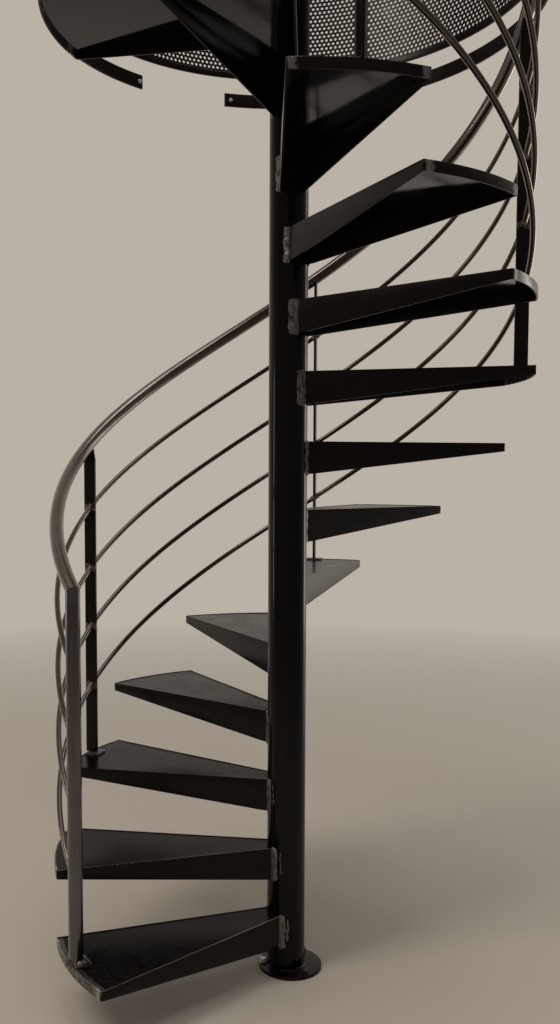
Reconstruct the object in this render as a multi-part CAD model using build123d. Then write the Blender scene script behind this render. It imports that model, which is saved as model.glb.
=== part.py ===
from build123d import *
import os
from math import asin, atan2, ceil, cos, degrees, pi, radians, sin, sqrt

# Welded steel spiral staircase round a central column, millimetres, +Z up.
# The origin is on the floor, on the column's axis. The left of the stair is -X and its back is +Y.
# A climb angle is 0 on the left and grows clockwise seen from above, the way the stair climbs.

# Stair
first_rise = 178
rise = 202
top_rise = 212
top_rise_count = 2
tread_count = 13
step_angle = 26.4
first_tread_angle = -31
tread_span = 28
tread_radius = 692
tread_root_width = 57

# Tread and landing pans
pan_depth_at_column = 96
pan_depth_at_rim = 26
flange_thickness = 5
plate_thickness = 3
plate_drop = 1.5
landing_span = 83.6
landing_depth_at_column = 80
landing_depth_at_rim = 20

# Column and base plate
column_diameter = 114
column_wall = 4
column_above_rail = 45
cap_thickness = 8
base_diameter = 190
base_thickness = 10
base_offset = 14
anchor_edge = 12
anchor_count = 3
anchor_hole = 11

# Handrail, rods and what carries them; the bars have a few flat sides, and climb in short straight lengths
rail_inset = 16
rail_diameter = 40
rail_sides = 12
lengths_per_tread = 4
rail_height = 1013
rod_diameter = 16
rod_sides = 8
rod_drops_below_rail = (787, 593, 403, 207)
baluster_every = 3
baluster_width = 40
baluster_thickness = 8
baluster_tip_width = 22
baluster_taper = 30
foot_length = 60
foot_width = 44
foot_thickness = 6
top_newel_inset = 3.4
corner_newel_inset = 3.4

# Rolled flats on the wall of the stairwell, level with the landing
wall_flat_clearance = 20
wall_flat_thickness = 8
wall_flat_height = 45
wall_flat_above_landing = 38
wall_flat_lap = 8
bracket_past_landing = 25.9
wall_flat_pause = 26
wall_bolt_hole = 9
wall_bolt_inset = 22
bracket_bolt_inset = 12

# Guard round the stairwell: posts, perforated sheets in frames, and a rail;
# a plain grid of openings stands for each sheet's small perforations
guard_bays = 3
guard_post_width = 25
guard_frame_bar = 20
guard_sheet_thickness = 2
guard_gap_under_frame = 55
guard_grid_across = 6
guard_grid_high = 4
guard_grid_web = 70

# Fits
seat_gap = 0.3
rail_seat_clearance = 0.8
rod_hole_clearance = 0.4

column_radius = column_diameter / 2
rail_radius = tread_radius - rail_inset
wall_flat_radius = tread_radius + wall_flat_clearance
anchor_circle = base_diameter - 2 * anchor_edge
landing_height = first_rise + (tread_count - top_rise_count) * rise + top_rise_count * top_rise
landing_radius = wall_flat_radius - seat_gap
landing_start_angle = first_tread_angle + tread_count * step_angle - tread_span / 2
landing_end_angle = landing_start_angle + landing_span
landing_middle = (landing_start_angle + landing_end_angle) / 2
top_newel_angle = landing_start_angle + top_newel_inset
corner_newel_angle = landing_end_angle - corner_newel_inset
rail_pitch = rise * 360 / step_angle
rail_slope = degrees(atan2(rail_pitch, 2 * pi * rail_radius))
guard_radius = wall_flat_radius + wall_flat_thickness / 2
guard_start_angle = landing_end_angle - 360 - 0.8
guard_end_angle = landing_start_angle - 0.6
guard_bay_angle = (guard_end_angle - guard_start_angle) / guard_bays
bracket_end_angle = landing_end_angle - 360 + bracket_past_landing
wall_flat_start_angle = bracket_end_angle + wall_flat_pause
wall_flat_top = landing_height + wall_flat_above_landing
guard_rail_height = landing_height + rail_height
foot_top = foot_thickness - plate_drop
rod_heights = [rail_height - drop for drop in rod_drops_below_rail]


def tread_height(number):
    """Height of the top of a tread; the last rises before the landing are a little higher."""
    higher = max(0, number - 1 - tread_count + top_rise_count)
    return first_rise + (number - 1) * rise + higher * (top_rise - rise)


def tread_angle(number):
    """Climb angle of the middle of a tread."""
    return first_tread_angle + (number - 1) * step_angle


def placed(shape, angle, height=0):
    """Turns a shape modelled along +X to a climb angle and lifts it."""
    return Pos(0, 0, height) * Rot(0, 0, 180 - angle) * shape


def upright(radius, diameter, bottom, top):
    """A round post that stands at a radius along +X."""
    return Pos(radius, 0, bottom) * Cylinder(
        diameter / 2, top - bottom, align=(Align.CENTER, Align.CENTER, Align.MIN))


def along_rail(section, length, height):
    """A straight bar of a section through the rail's line at +X, laid along the climb."""
    return Pos(rail_radius, 0, height) * Rot(90 - rail_slope, 0, 0) * extrude(section, length / 2, both=True)


def arc_bar(inner_radius, thickness, start, end, bottom, height):
    """A flat bar on edge, rolled to a radius, from one climb angle to another."""
    outer = CenterArc((0, 0), inner_radius + thickness, 180 - end, end - start)
    inner = CenterArc((0, 0), inner_radius, 180 - end, end - start)
    face = make_face([outer, inner, Line(outer @ 0, inner @ 0), Line(outer @ 1, inner @ 1)])
    return Pos(0, 0, bottom) * extrude(face, height)


def helical_bar(diameter, sides, start, end, start_height):
    """A bar that climbs with the treads, drawn in short straight lengths mitred to each other."""
    def on_helix(turn):
        return (rail_radius * cos(radians(turn)), -rail_radius * sin(radians(turn)), rail_pitch * turn / 360)

    turn_of_length = step_angle / lengths_per_tread
    count = ceil((end - start) / turn_of_length)
    path = Polyline(*[on_helix(min(index * turn_of_length, end - start)) for index in range(count + 1)])
    start_plane = Plane(origin=path @ 0, x_dir=(1, 0, 0), z_dir=path % 0)
    bar = sweep(start_plane * RegularPolygon(diameter / 2, sides), path=path, transition=Transition.RIGHT)
    return placed(bar, start, start_height)


def pan(half_span, radius, depth_at_column, depth_at_rim):
    """An open-bottomed pan along +X: plate, two tapered flanges and a curved flat at the rim."""
    root = tread_root_width / 2
    corner_x = radius * cos(radians(half_span))
    corner_y = radius * sin(radians(half_span))
    outline = make_face([
        Line((0, -root), (corner_x, -corner_y)),
        ThreePointArc((corner_x, -corner_y), (radius, 0), (corner_x, corner_y)),
        Line((corner_x, corner_y), (0, root)),
        Line((0, root), (0, -root))])
    inside = offset(outline, -flange_thickness, kind=Kind.INTERSECTION)
    walls = extrude(outline - inside, -depth_at_column)
    side = Plane.XZ * Polygon(
        (0, 0), (radius, 0), (radius, -depth_at_rim), (corner_x, -depth_at_rim),
        (column_radius * corner_x / radius, -depth_at_column), (0, -depth_at_column), align=None)
    walls = walls & extrude(side, radius, both=True)
    plate = Pos(0, 0, -plate_drop) * extrude(inside, -plate_thickness)
    return walls + plate - Cylinder(column_radius + seat_gap, 3 * depth_at_column)


def foot():
    """The small plate that a post stands on, inside the tread's outer flat."""
    outer_edge = sqrt((tread_radius - flange_thickness - seat_gap) ** 2 - (foot_length / 2) ** 2)
    return Pos(outer_edge - foot_width / 2, 0, foot_top) * Box(
        foot_width, foot_length, foot_thickness, align=(Align.CENTER, Align.CENTER, Align.MAX))


def baluster():
    """A flat bar on its foot, tapered under the handrail, with a hole for each rod."""
    half = baluster_width / 2
    tip = baluster_tip_width / 2
    shoulder = rail_height - rail_diameter / 2 - baluster_taper
    face = Plane.XZ * Polygon(
        (rail_radius - half, foot_top), (rail_radius + half, foot_top), (rail_radius + half, shoulder),
        (rail_radius + tip, rail_height), (rail_radius - tip, rail_height), (rail_radius - half, shoulder),
        align=None)
    bar = extrude(face, baluster_thickness / 2, both=True)
    bar -= along_rail(Circle(rail_diameter / 2 + rail_seat_clearance), 4 * rail_diameter, rail_height)
    bar = bar.solids().sort_by(SortBy.VOLUME)[-1]
    hole = RegularPolygon(rod_diameter / 2 + rod_hole_clearance, rail_sides, major_radius=False)
    for height in rod_heights:
        bar -= along_rail(hole, 4 * rod_diameter, height)
    return bar + foot()


def mitre_side(keep_newel):
    """The half of space on one side of the cut between the first newel and the handrail."""
    climb = Vector(0, -cos(radians(rail_slope)), sin(radians(rail_slope)))
    normal = climb + Vector(0, 0, 1)
    cut = Plane(origin=(rail_radius, 0, rail_height), z_dir=normal if keep_newel else normal * -1)
    size = 3 * rail_height
    return cut * Box(size, size, size, align=(Align.CENTER, Align.CENTER, Align.MAX))


def base_plate():
    disc = Pos(base_offset, 0, 0) * Cylinder(
        base_diameter / 2, base_thickness, align=(Align.CENTER, Align.CENTER, Align.MIN))
    for index in range(anchor_count):
        hole = Pos(anchor_circle / 2, 0, 0) * Cylinder(anchor_hole / 2, 4 * base_thickness)
        disc -= Pos(base_offset, 0, 0) * Rot(0, 0, 180 + index * 360 / anchor_count) * hole
    return disc


def column():
    top = guard_rail_height + rail_diameter / 2 + column_above_rail
    tube = upright(0, column_diameter, base_thickness, top)
    return tube - upright(0, column_diameter - 2 * column_wall, base_thickness - 1, top + 1), top


def column_cap(bottom):
    return upright(0, column_diameter, bottom, bottom + cap_thickness)


def wall_flat(start, end, bolt_angles):
    """One rolled flat on the stairwell's wall, drilled for its wall bolts."""
    flat = arc_bar(wall_flat_radius, wall_flat_thickness, start, end,
                   wall_flat_top - wall_flat_height, wall_flat_height)
    for angle in bolt_angles:
        hole = Pos(guard_radius, 0, 0) * Rot(0, 90, 0) * Cylinder(wall_bolt_hole / 2, 4 * wall_flat_thickness)
        flat -= placed(hole, angle, wall_flat_top - wall_flat_height / 2)
    return flat


def guard_post():
    """A flat post on top of the wall flats, up to just under the guard's rail."""
    bottom = wall_flat_top
    top = guard_rail_height - rail_diameter / 2 - seat_gap
    return Pos(guard_radius, 0, bottom) * Box(
        wall_flat_thickness, guard_post_width, top - bottom, align=(Align.CENTER, Align.CENTER, Align.MIN))


def guard_panel(start, end):
    """A curved sheet with a flat bar along its bottom and top, and a grid of openings between them."""
    bottom = wall_flat_top + guard_gap_under_frame
    top = guard_rail_height - rail_diameter / 2 - seat_gap
    sheet_radius = guard_radius - guard_sheet_thickness / 2
    sheet = arc_bar(sheet_radius, guard_sheet_thickness, start, end, bottom, top - bottom)
    low_bar = arc_bar(wall_flat_radius, wall_flat_thickness, start, end, bottom, guard_frame_bar)
    top_bar = arc_bar(wall_flat_radius, wall_flat_thickness, start, end, top - guard_frame_bar, guard_frame_bar)
    turn = (end - start) / guard_grid_across
    row = (top - bottom - 2 * guard_frame_bar) / guard_grid_high
    cutter = Pos(guard_radius, 0, 0) * Box(
        4 * wall_flat_thickness, radians(turn) * guard_radius - guard_grid_web, row - guard_grid_web)
    grid = [placed(cutter, start + (across + 0.5) * turn, bottom + guard_frame_bar + (up + 0.5) * row)
            for across in range(guard_grid_across) for up in range(guard_grid_high)]
    return low_bar + (sheet - grid) + top_bar


def guard_rail(start, end):
    """A length of the round rail on top of the guard."""
    path = CenterArc((0, 0, guard_rail_height), guard_radius, 180 - start, start - end)
    return sweep(Plane(origin=path @ 0, z_dir=path % 0) * RegularPolygon(rail_diameter / 2, rail_sides), path=path)


def across_landing(diameter, sides, height):
    """A straight bar from the column to the corner newel, along +X."""
    bar = Pos(0, 0, height) * Rot(0, 90, 0) * extrude(RegularPolygon(diameter / 2, sides), rail_radius)
    bar -= upright(0, column_diameter + 2 * seat_gap, height - diameter, height + diameter)
    return bar - upright(rail_radius, rail_diameter + 2 * seat_gap, height - diameter, height + diameter)


parts = {}

parts["base_plate"] = base_plate()
parts["column"], column_top = column()
parts["column_cap"] = column_cap(column_top)

tread = pan(tread_span / 2, tread_radius, pan_depth_at_column, pan_depth_at_rim)
for number in range(1, tread_count + 1):
    parts[f"tread_{number:02d}"] = placed(tread, tread_angle(number), tread_height(number))
landing = pan(landing_span / 2, landing_radius, landing_depth_at_column, landing_depth_at_rim)
parts["landing"] = placed(landing, landing_middle, landing_height)

post = baluster()
for number in range(baluster_every, tread_count + 1, baluster_every):
    parts[f"baluster_{number:02d}"] = placed(post, tread_angle(number), tread_height(number))

# The first newel is mitred to the handrail; the other two end in a flat top
newel = upright(rail_radius, rail_diameter, foot_top, rail_height + 2 * rail_diameter)
parts["bottom_newel"] = placed((newel & mitre_side(True)) + foot(), first_tread_angle, first_rise)
landing_newel = upright(rail_radius, rail_diameter, foot_top, rail_height + rail_diameter / 2) + foot()
parts["top_newel"] = placed(landing_newel, top_newel_angle, landing_height)
parts["corner_newel"] = placed(landing_newel, corner_newel_angle, landing_height)

# The handrail and the rods run from the first newel to the top one, through the balusters
top_newel_hole = placed(
    upright(rail_radius, rail_diameter + 2 * seat_gap, -rise, 2 * rail_height), top_newel_angle, landing_height)
bottom_newel_hole = placed(
    upright(rail_radius, rail_diameter + 2 * seat_gap, 0, 2 * rail_height), first_tread_angle, first_rise)
early = degrees(rail_diameter / rail_radius)
handrail = helical_bar(rail_diameter, rail_sides, first_tread_angle - early, top_newel_angle,
                       first_rise + rail_height - rail_pitch * early / 360)
parts["handrail"] = handrail - placed(mitre_side(True), first_tread_angle, first_rise) - top_newel_hole
for index, height in enumerate(rod_heights, start=1):
    rod = helical_bar(rod_diameter, rod_sides, first_tread_angle, top_newel_angle, first_rise + height)
    parts[f"rod_{index}"] = rod - bottom_newel_hole - top_newel_hole

# Wall flats: a short bracket off the landing, then three lengths round the rest of the well
bolt_step = degrees(wall_bolt_inset / guard_radius)
guard_angles = [guard_start_angle + index * guard_bay_angle for index in range(guard_bays + 1)]
bracket_start = landing_end_angle - 360 - wall_flat_lap
bracket_bolt = bracket_end_angle - degrees(bracket_bolt_inset / guard_radius)
parts["wall_flat_1"] = wall_flat(bracket_start, bracket_end_angle, [bracket_bolt])
joints = [wall_flat_start_angle, guard_angles[1], guard_angles[2], landing_start_angle + wall_flat_lap]
for index in range(3):
    start = joints[index]
    end = joints[index + 1]
    bolts = [start + bolt_step] if index == 2 else [start + bolt_step, end - bolt_step]
    parts[f"wall_flat_{index + 2}"] = wall_flat(start, end, bolts)

# Guard
post_half_angle = degrees(asin((guard_post_width / 2 + seat_gap) / wall_flat_radius))
for index, angle in enumerate(guard_angles, start=1):
    parts[f"guard_post_{index}"] = placed(guard_post(), angle)
for index in range(guard_bays):
    start = guard_angles[index]
    end = guard_angles[index + 1]
    parts[f"guard_panel_{index + 1}"] = guard_panel(start + post_half_angle, end - post_half_angle)
    rail_start = start - post_half_angle if index == 0 else start
    rail_end = end + post_half_angle if index == guard_bays - 1 else end
    parts[f"guard_rail_{index + 1}"] = guard_rail(rail_start, rail_end)

# Straight rail and rods along the open edge of the landing
landing_rail = across_landing(rail_diameter, rail_sides, rail_height)
parts["landing_rail"] = placed(landing_rail, corner_newel_angle, landing_height)
landing_rods = [across_landing(rod_diameter, rod_sides, height) for height in rod_heights]
parts["landing_rods"] = placed(Compound(children=landing_rods), corner_newel_angle, landing_height)

os.makedirs("parts", exist_ok=True)
for name, shape in parts.items():
    export_step(shape, f"parts/{name}.step")
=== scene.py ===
from functools import partial
from math import atan2, cos, degrees, hypot, pi, radians, sin, sqrt

import bpy
import numpy as np
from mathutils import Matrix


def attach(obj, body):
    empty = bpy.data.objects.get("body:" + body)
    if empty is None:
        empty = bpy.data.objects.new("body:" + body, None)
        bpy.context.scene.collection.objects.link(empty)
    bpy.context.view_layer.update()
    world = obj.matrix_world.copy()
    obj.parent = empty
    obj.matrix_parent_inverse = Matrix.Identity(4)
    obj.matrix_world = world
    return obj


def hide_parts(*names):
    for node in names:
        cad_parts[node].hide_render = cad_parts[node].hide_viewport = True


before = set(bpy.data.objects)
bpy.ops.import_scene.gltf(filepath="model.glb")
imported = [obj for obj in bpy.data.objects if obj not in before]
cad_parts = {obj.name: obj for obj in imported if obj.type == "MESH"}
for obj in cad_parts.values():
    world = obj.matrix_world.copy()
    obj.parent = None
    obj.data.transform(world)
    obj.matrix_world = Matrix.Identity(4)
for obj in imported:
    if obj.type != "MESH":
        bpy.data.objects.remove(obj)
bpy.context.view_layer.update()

# Welded steel spiral staircase round a central column. Lengths are in millimetres until a mesh is made.
# A climb angle is 0 on the left and grows clockwise seen from above, as the stair climbs.

# Base plate and its anchors
# The base plate is a 10 mm disc of plasma-cut steel, sprayed with black satin lacquer, with the column's
# foot welded on. Three hexagon anchors on washers hold it: the left one is bare zinc, the other two are
# black like the plate.


def linear(code):
    """A hex sRGB colour as linear red, green, blue and alpha, by the sRGB curve."""
    values = [int(code[k:k + 2], 16) / 255 for k in (1, 3, 5)]
    return [v / 12.92 if v <= 0.04045 else ((v + 0.055) / 1.055) ** 2.4 for v in values] + [1.0]


def set_inputs(node, wanted):
    """Gives a node's inputs what they take: a value, or another node's output, which is linked."""
    for key, value in wanted.items():
        if isinstance(value, bpy.types.NodeSocket):
            node.id_data.links.new(value, node.inputs[key])
        else:
            node.inputs[key].default_value = value


def add_node(tree, kind, inputs=None, output=0, **settings):
    """Adds one node with its settings and inputs, and returns one of its outputs."""
    made = tree.nodes.new("ShaderNode" + kind)
    for name, value in settings.items():
        setattr(made, name, value)
    set_inputs(made, inputs or {})
    return made.outputs[output]


def new_material(name):
    """An empty material, the function that adds a node to it, its shader and Object coordinates in metres."""
    made = bpy.data.materials.new(name)
    made.use_nodes = True
    node = partial(add_node, made.node_tree)
    return made, node, made.node_tree.nodes["Principled BSDF"], node("TexCoord", output="Object")


# With these settings a Mix node mixes colours.
colour_mix = {"output": 2, "data_type": "RGBA"}


def torn_paint(node, place):
    """How far paint is torn away, in ragged patches 13 mm across: 1.1 times a noise plus the corner attribute
    'bare', cut off from 0.97 to 1.17. It comes with the attribute itself."""
    ragged = node("TexNoise", {"Vector": place, "Scale": 75, "Detail": 5, "Roughness": 0.65})
    bare = node("Attribute", output="Fac", attribute_name="bare")
    ragged = node("Math", {0: ragged, 1: 1.1, 2: bare}, operation="MULTIPLY_ADD")
    return node("MapRange", {0: ragged, 1: 0.97, 2: 1.17}), bare


def lacquer_on_steel(name, dark, warm, polish, shine):
    """Black lacquer sprayed on welded steel: near black, with soft patches a hand wide where it is rubbed
    duller and a faint orange peel 6 mm across. Where the corner attribute 'bare' is high, the lacquer is
    torn away in ragged patches and shows ground grey steel with a fine grit. Near 1 the steel turns near
    white: a bright polish, and a painted highlight along worn top edges."""
    made, node, shader, place = new_material(name)
    cloud = node("TexNoise", {"Vector": place, "Scale": 8, "Detail": 3, "Roughness": 0.6})
    peel = node("TexNoise", {"Vector": place, "Scale": 160, "Detail": 1})
    grit = node("TexNoise", {"Vector": place, "Scale": 420, "Detail": 2})
    torn, bare = torn_paint(node, place)
    # Near 1 the steel turns near white, which is partly a painted highlight along worn top edges.
    polish_and_painted_highlight = node("MapRange", {0: bare, 1: 0.86, 2: 1.0, 3: 0.0, 4: 0.75})
    paint = node("Mix", {0: cloud, 6: linear(dark), 7: linear(warm)}, **colour_mix)
    steel = node("Mix", {0: grit, 6: linear("#4a4744"), 7: linear("#948f89")}, **colour_mix)
    steel = node("Mix", {0: polish_and_painted_highlight, 6: steel, 7: linear("#cfcac4")}, **colour_mix)
    gloss = node("MapRange", {0: cloud, 1: 0.3, 2: 0.75, 3: polish, 4: polish + 0.08})
    height = node("Math", {0: torn, 1: grit, 2: peel}, operation="MULTIPLY_ADD")
    set_inputs(shader, {
        "Base Color": node("Mix", {0: torn, 6: paint, 7: steel}, **colour_mix),
        "Metallic": node("MapRange", {0: torn, 3: 0.0, 4: 0.65}),
        "Roughness": node("Mix", {0: torn, 2: gloss, 3: 0.32}),
        "Normal": node("Bump", {"Strength": 0.14, "Distance": 0.0005, "Height": height}),
        "IOR": 1.45,
        "Specular IOR Level": shine})
    return made


black_lacquer = lacquer_on_steel("black satin lacquer on welded steel", "#080706", "#1a1410", 0.2, 0.2)
column_lacquer = lacquer_on_steel("black gloss lacquer on steel tube", "#060505", "#110d0b", 0.08, 0.22)

# Zinc-plated steel is a bright blue-grey metal whose faint crystals break the highlight up.
zinc_plate, node, shader, place = new_material("zinc-plated steel fastener")
crystals = node("TexVoronoi", {"Vector": place, "Scale": 700}, output="Color")
handled = node("TexNoise", {"Vector": place, "Scale": 300})
facets = node("Mix", {0: crystals, 6: linear("#c3c7cc"), 7: linear("#f1f3f5")}, **colour_mix)
set_inputs(shader, {
    "Base Color": facets,
    "Roughness": node("MapRange", {0: handled, 1: 0.3, 2: 0.7, 3: 0.25, 4: 0.45}),
    "Metallic": 0.5})


def carry(rings, loop=False, bare=0.0):
    """A closed profile carried along a path, as corners, faces, UVs and the attribute bare.

    rings[i, j] is corner j of the profile at step i of the path. Each ring is joined to the next by
    quads, and the ends of an open path are closed by a fan to the middle of the ring. U is the distance
    round the profile and V the distance along the path, both in metres."""
    rings = np.asarray(rings, float)
    steps, sides = rings.shape[:2]
    corners = rings.reshape(-1, 3)
    across = np.linalg.norm(np.roll(rings, -1, 1) - rings, axis=2).cumsum(1) / 1000
    along = np.linalg.norm(np.roll(rings, -1, 0) - rings, axis=2).mean(1).cumsum() / 1000
    across = np.concatenate([np.zeros((steps, 1)), across], 1)
    along = np.concatenate([[0.0], along])
    i, j = np.meshgrid(np.arange(steps if loop else steps - 1), np.arange(sides), indexing="ij")
    i, j = i.ravel(), j.ravel()
    after = (i + 1) % steps
    low, high = i * sides, after * sides
    faces = np.stack([low + j, low + (j + 1) % sides, high + (j + 1) % sides, high + j], 1)
    u = np.stack([across[i, j], across[i, j + 1], across[after, j + 1], across[after, j]], 1)
    v = np.stack([along[i], along[i], along[i + 1], along[i + 1]], 1)
    faces, uvs = faces.tolist(), np.stack([u, v], 2).reshape(-1, 2)
    bare = np.broadcast_to(bare, (steps, sides)).ravel()
    if not loop:
        corners = np.concatenate([corners, rings[:1].mean(1), rings[-1:].mean(1)])
        bare = np.concatenate([bare, [bare[0], bare[-1]]])
        first, last = steps * sides, steps * sides + 1
        final = (steps - 1) * sides
        faces += [(first, (k + 1) % sides, k) for k in range(sides)]
        faces += [(last, final + k, final + (k + 1) % sides) for k in range(sides)]
        uvs = np.concatenate([uvs, np.zeros((6 * sides, 2))])
    return corners, faces, uvs, bare


def add_object(name, data):
    """Adds an object with its data to the scene, at the origin."""
    made = bpy.data.objects.new(name, data)
    bpy.context.collection.objects.link(made)
    return made


def ride_on_root(name, mesh, replaced):
    """Makes a piece of a mesh: it rides on the root and may replace one CAD node."""
    made = add_object(name, mesh)
    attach(made, "root")
    if replaced:
        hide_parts(replaced)


# Edges between faces that meet at more than this angle, in degrees, are shown sharp.
sharp_angle = 35


def make_piece(name, shells, finishes, replaced=None):
    """Puts shells from carry into one mesh in metres, with one finish for all or one for each shell."""
    mesh = bpy.data.meshes.new(name)
    starts = np.cumsum([0] + [len(shell[0]) for shell in shells])
    faces = [tuple(start + k for k in face) for start, shell in zip(starts, shells) for face in shell[1]]
    mesh.from_pydata(np.concatenate([shell[0] for shell in shells]) / 1000, [], faces)
    layer = mesh.uv_layers.new(name="Surface")
    layer.data.foreach_set("uv", np.concatenate([shell[2] for shell in shells]).astype(np.float32).ravel())
    bare = np.concatenate([shell[3] for shell in shells]).astype(np.float32)
    mesh.attributes.new("bare", "FLOAT", "POINT").data.foreach_set("value", bare)
    finishes = finishes if isinstance(finishes, list) else [finishes] * len(shells)
    used = list(dict.fromkeys(finishes))
    for finish in used:
        mesh.materials.append(finish)
    picks = np.repeat([used.index(finish) for finish in finishes], [len(shell[1]) for shell in shells])
    mesh.polygons.foreach_set("material_index", picks.astype(np.int32))
    mesh.shade_smooth()
    mesh.set_sharp_from_angle(angle=radians(sharp_angle))
    ride_on_root(name, mesh, replaced)
    return mesh


def points_of(x, y, z):
    """Points from their x, y and z, each spread over the shape of the others."""
    return np.stack(np.broadcast_arrays(x, y, z), -1)


def full_turn(steps):
    """Angles at equal steps round a circle."""
    return np.arange(steps) * 2 * pi / steps


def unit(angle):
    """The unit vector at an angle, or one for each of several, as x and y."""
    return np.stack([np.cos(angle), np.sin(angle)], -1)


def circle(radius, sides):
    """Points round a circle, as two arrays of x and y."""
    return radius * unit(full_turn(sides)).T


def upright_rings(rows, sides, middle_x=0):
    """Rings round an upright axis at middle_x, from rows of radius and height."""
    rows = np.asarray(rows, float)
    x, y = circle(1, sides)
    return points_of(middle_x + rows[:, :1] * x, rows[:, :1] * y, rows[:, 1:])


def hexagon_bolt(centre, axis, across_flats, head, washer_radius, washer):
    """A washer and a chamfered hexagon head round an axis.

    Each row of the profile is a height, a round radius and a hexagon's half width. At an angle the
    hexagon reaches its half width over the cosine of the angle from the nearest flat's middle, and the
    corner is the smaller of the round and the hexagonal radius, so the chamfer cuts the points off."""
    axis = np.asarray(axis, float) / np.linalg.norm(axis)
    side = np.cross(axis, (0.3, 0.5, 0.81))
    side /= np.linalg.norm(side)
    other = np.cross(axis, side)
    half = across_flats / 2
    big = 10 * washer_radius
    rows = np.array([
        (-1, washer_radius, big),
        (washer - 0.4, washer_radius, big),
        (washer, washer_radius - 0.4, big),
        (washer, half * 1.12, half),
        (washer + head - 1.4, half * 1.16, half),
        (washer + head, half * 0.95, half),
        (washer + head, half * 0.55, half),
        (washer + head + 0.25, half * 0.5, half)])
    angle = full_turn(48)
    flat = rows[:, 2:3] / np.cos((angle + pi / 6) % (pi / 3) - pi / 6)
    reach = np.minimum(rows[:, 1:2], flat)
    rings = (np.asarray(centre, float) + axis * rows[:, 0, None, None]
             + reach[..., None] * (np.cos(angle)[:, None] * side + np.sin(angle)[:, None] * other))
    return carry(rings)


base_radius, base_thickness, base_offset = 95, 10, 14
base_rows = [(base_radius, 0), (base_radius, base_thickness - 0.8), (base_radius - 0.3, base_thickness - 0.2),
             (base_radius - 1.2, base_thickness), (base_radius * 0.5, base_thickness)]
make_piece("base_disc", [carry(upright_rings(base_rows, 96, base_offset))], black_lacquer,
           "base_plate")

# A bolt's size is its width across flats, its head's height and its washer's radius and thickness.
anchor_size = (18, 9, 12, 2.4)
anchor_count, anchor_circle_radius = 3, 83
# Only the first anchor, on the left, is zinc; the other two are black like the plate.
for index in range(anchor_count):
    turn = pi + index * 2 * pi / anchor_count
    seat = (base_offset + anchor_circle_radius * cos(turn), anchor_circle_radius * sin(turn), base_thickness)
    make_piece(f"anchor_bolt_{index + 1}", [hexagon_bolt(seat, (0, 0, 1), *anchor_size)],
               black_lacquer if index else zinc_plate)

# Column
# The column is one 114 mm steel tube from the base plate to above the landing's rail, closed by a welded
# cap. It carries every tread and is lacquered in a glossier black, a little rubbed where people pass.
column_radius = 57
column_bottom, column_top = 10, 3902
column_rows = [(column_radius, z) for z in np.linspace(column_bottom, column_top, 60)]
make_piece("column_tube", [carry(upright_rings(column_rows, 96))], column_lacquer, "column")

cap_height, cap_edge, cap_flat_radius = 8, 4, 20
rounding = np.linspace(0, pi / 2, 6)
cap_out = column_radius - cap_edge + cap_edge * np.cos(rounding)
cap_up = column_top + cap_height - cap_edge + cap_edge * np.sin(rounding)
cap_rows = [(column_radius, column_top), *zip(cap_out, cap_up), (cap_flat_radius, column_top + cap_height)]
make_piece("column_top_cap", [carry(upright_rings(cap_rows, 96))], column_lacquer,
           "column_cap")

# A fillet weld runs round the column's foot and is painted over. Its legs waver by sums of sines.
ripple = full_turn(180)
leg = 4.5 + 0.3 * np.sin(ripple * 61) + 0.5 * np.sin(ripple * 7 + 1) + 0.3 * np.sin(ripple * 17)
foot_arc = np.linspace(0, 1, 7)
foot_out = column_radius - 1 + leg[:, None] * np.cos(foot_arc * pi / 2) ** 1.3 + 1 * (foot_arc == 1)
foot_up = base_thickness - 0.5 + leg[:, None] * np.sin(foot_arc * pi / 2) ** 1.3
foot_out = np.concatenate([foot_out, np.full((180, 1), column_radius - 2)], 1)
foot_up = np.concatenate([foot_up, np.full((180, 1), base_thickness - 0.5)], 1)
foot_rings = points_of(foot_out * np.cos(ripple)[:, None], foot_out * np.sin(ripple)[:, None], foot_up)
make_piece("column_foot_weld", [carry(foot_rings[:, ::-1], loop=True)], black_lacquer)

# Treads and landing
# Each tread is an open-bottomed pan: two flats on edge that taper from the column to the rim, a rolled
# flat across the rim and a plate let in 1.5 mm below their tops. It is welded, ground and lacquered black.
first_rise, rise, top_rise = 178, 202, 212
step_angle, first_tread_angle = 26.4, -31
flange, plate, plate_drop = 5, 3, 1.5
root_half_width = 28.5
edge_round = 0.9
# Flanges and plates run this far into the column, and a plate this far into the flats round it.
into_column, into_flats = 0.5, 0.4
# An outline has this many points along a flange, round the corner at its tip and along the rim.
flange_points, corner_points, rim_points = 26, 7, 30


def turned(points, climb_angle, height=0.0):
    """Points modelled along +X, lifted and turned to a climb angle: by 180 degrees less that angle."""
    angle = np.radians(180 - np.asarray(climb_angle, float))
    x, y, z = np.moveaxis(np.asarray(points, float), -1, 0)
    return points_of(x * np.cos(angle) - y * np.sin(angle), x * np.sin(angle) + y * np.cos(angle), z + height)


def flange_line(half_span, radius, inset=0):
    """A flange's line in plan, set in from its outer face, as start and slope: y is start + slope * x."""
    slope = (radius * sin(radians(half_span)) - root_half_width) / (radius * cos(radians(half_span)))
    return root_half_width - inset * sqrt(1 + slope * slope), slope


def crossing(start, slope, ring):
    """Where the line y = start + slope * x leaves a circle of radius ring round the column's axis."""
    a, b, c = 1 + slope ** 2, slope * start, start ** 2 - ring ** 2
    x = (-b + np.sqrt(b * b - a * c)) / a
    return np.stack([x, start + slope * x], -1)


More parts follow.
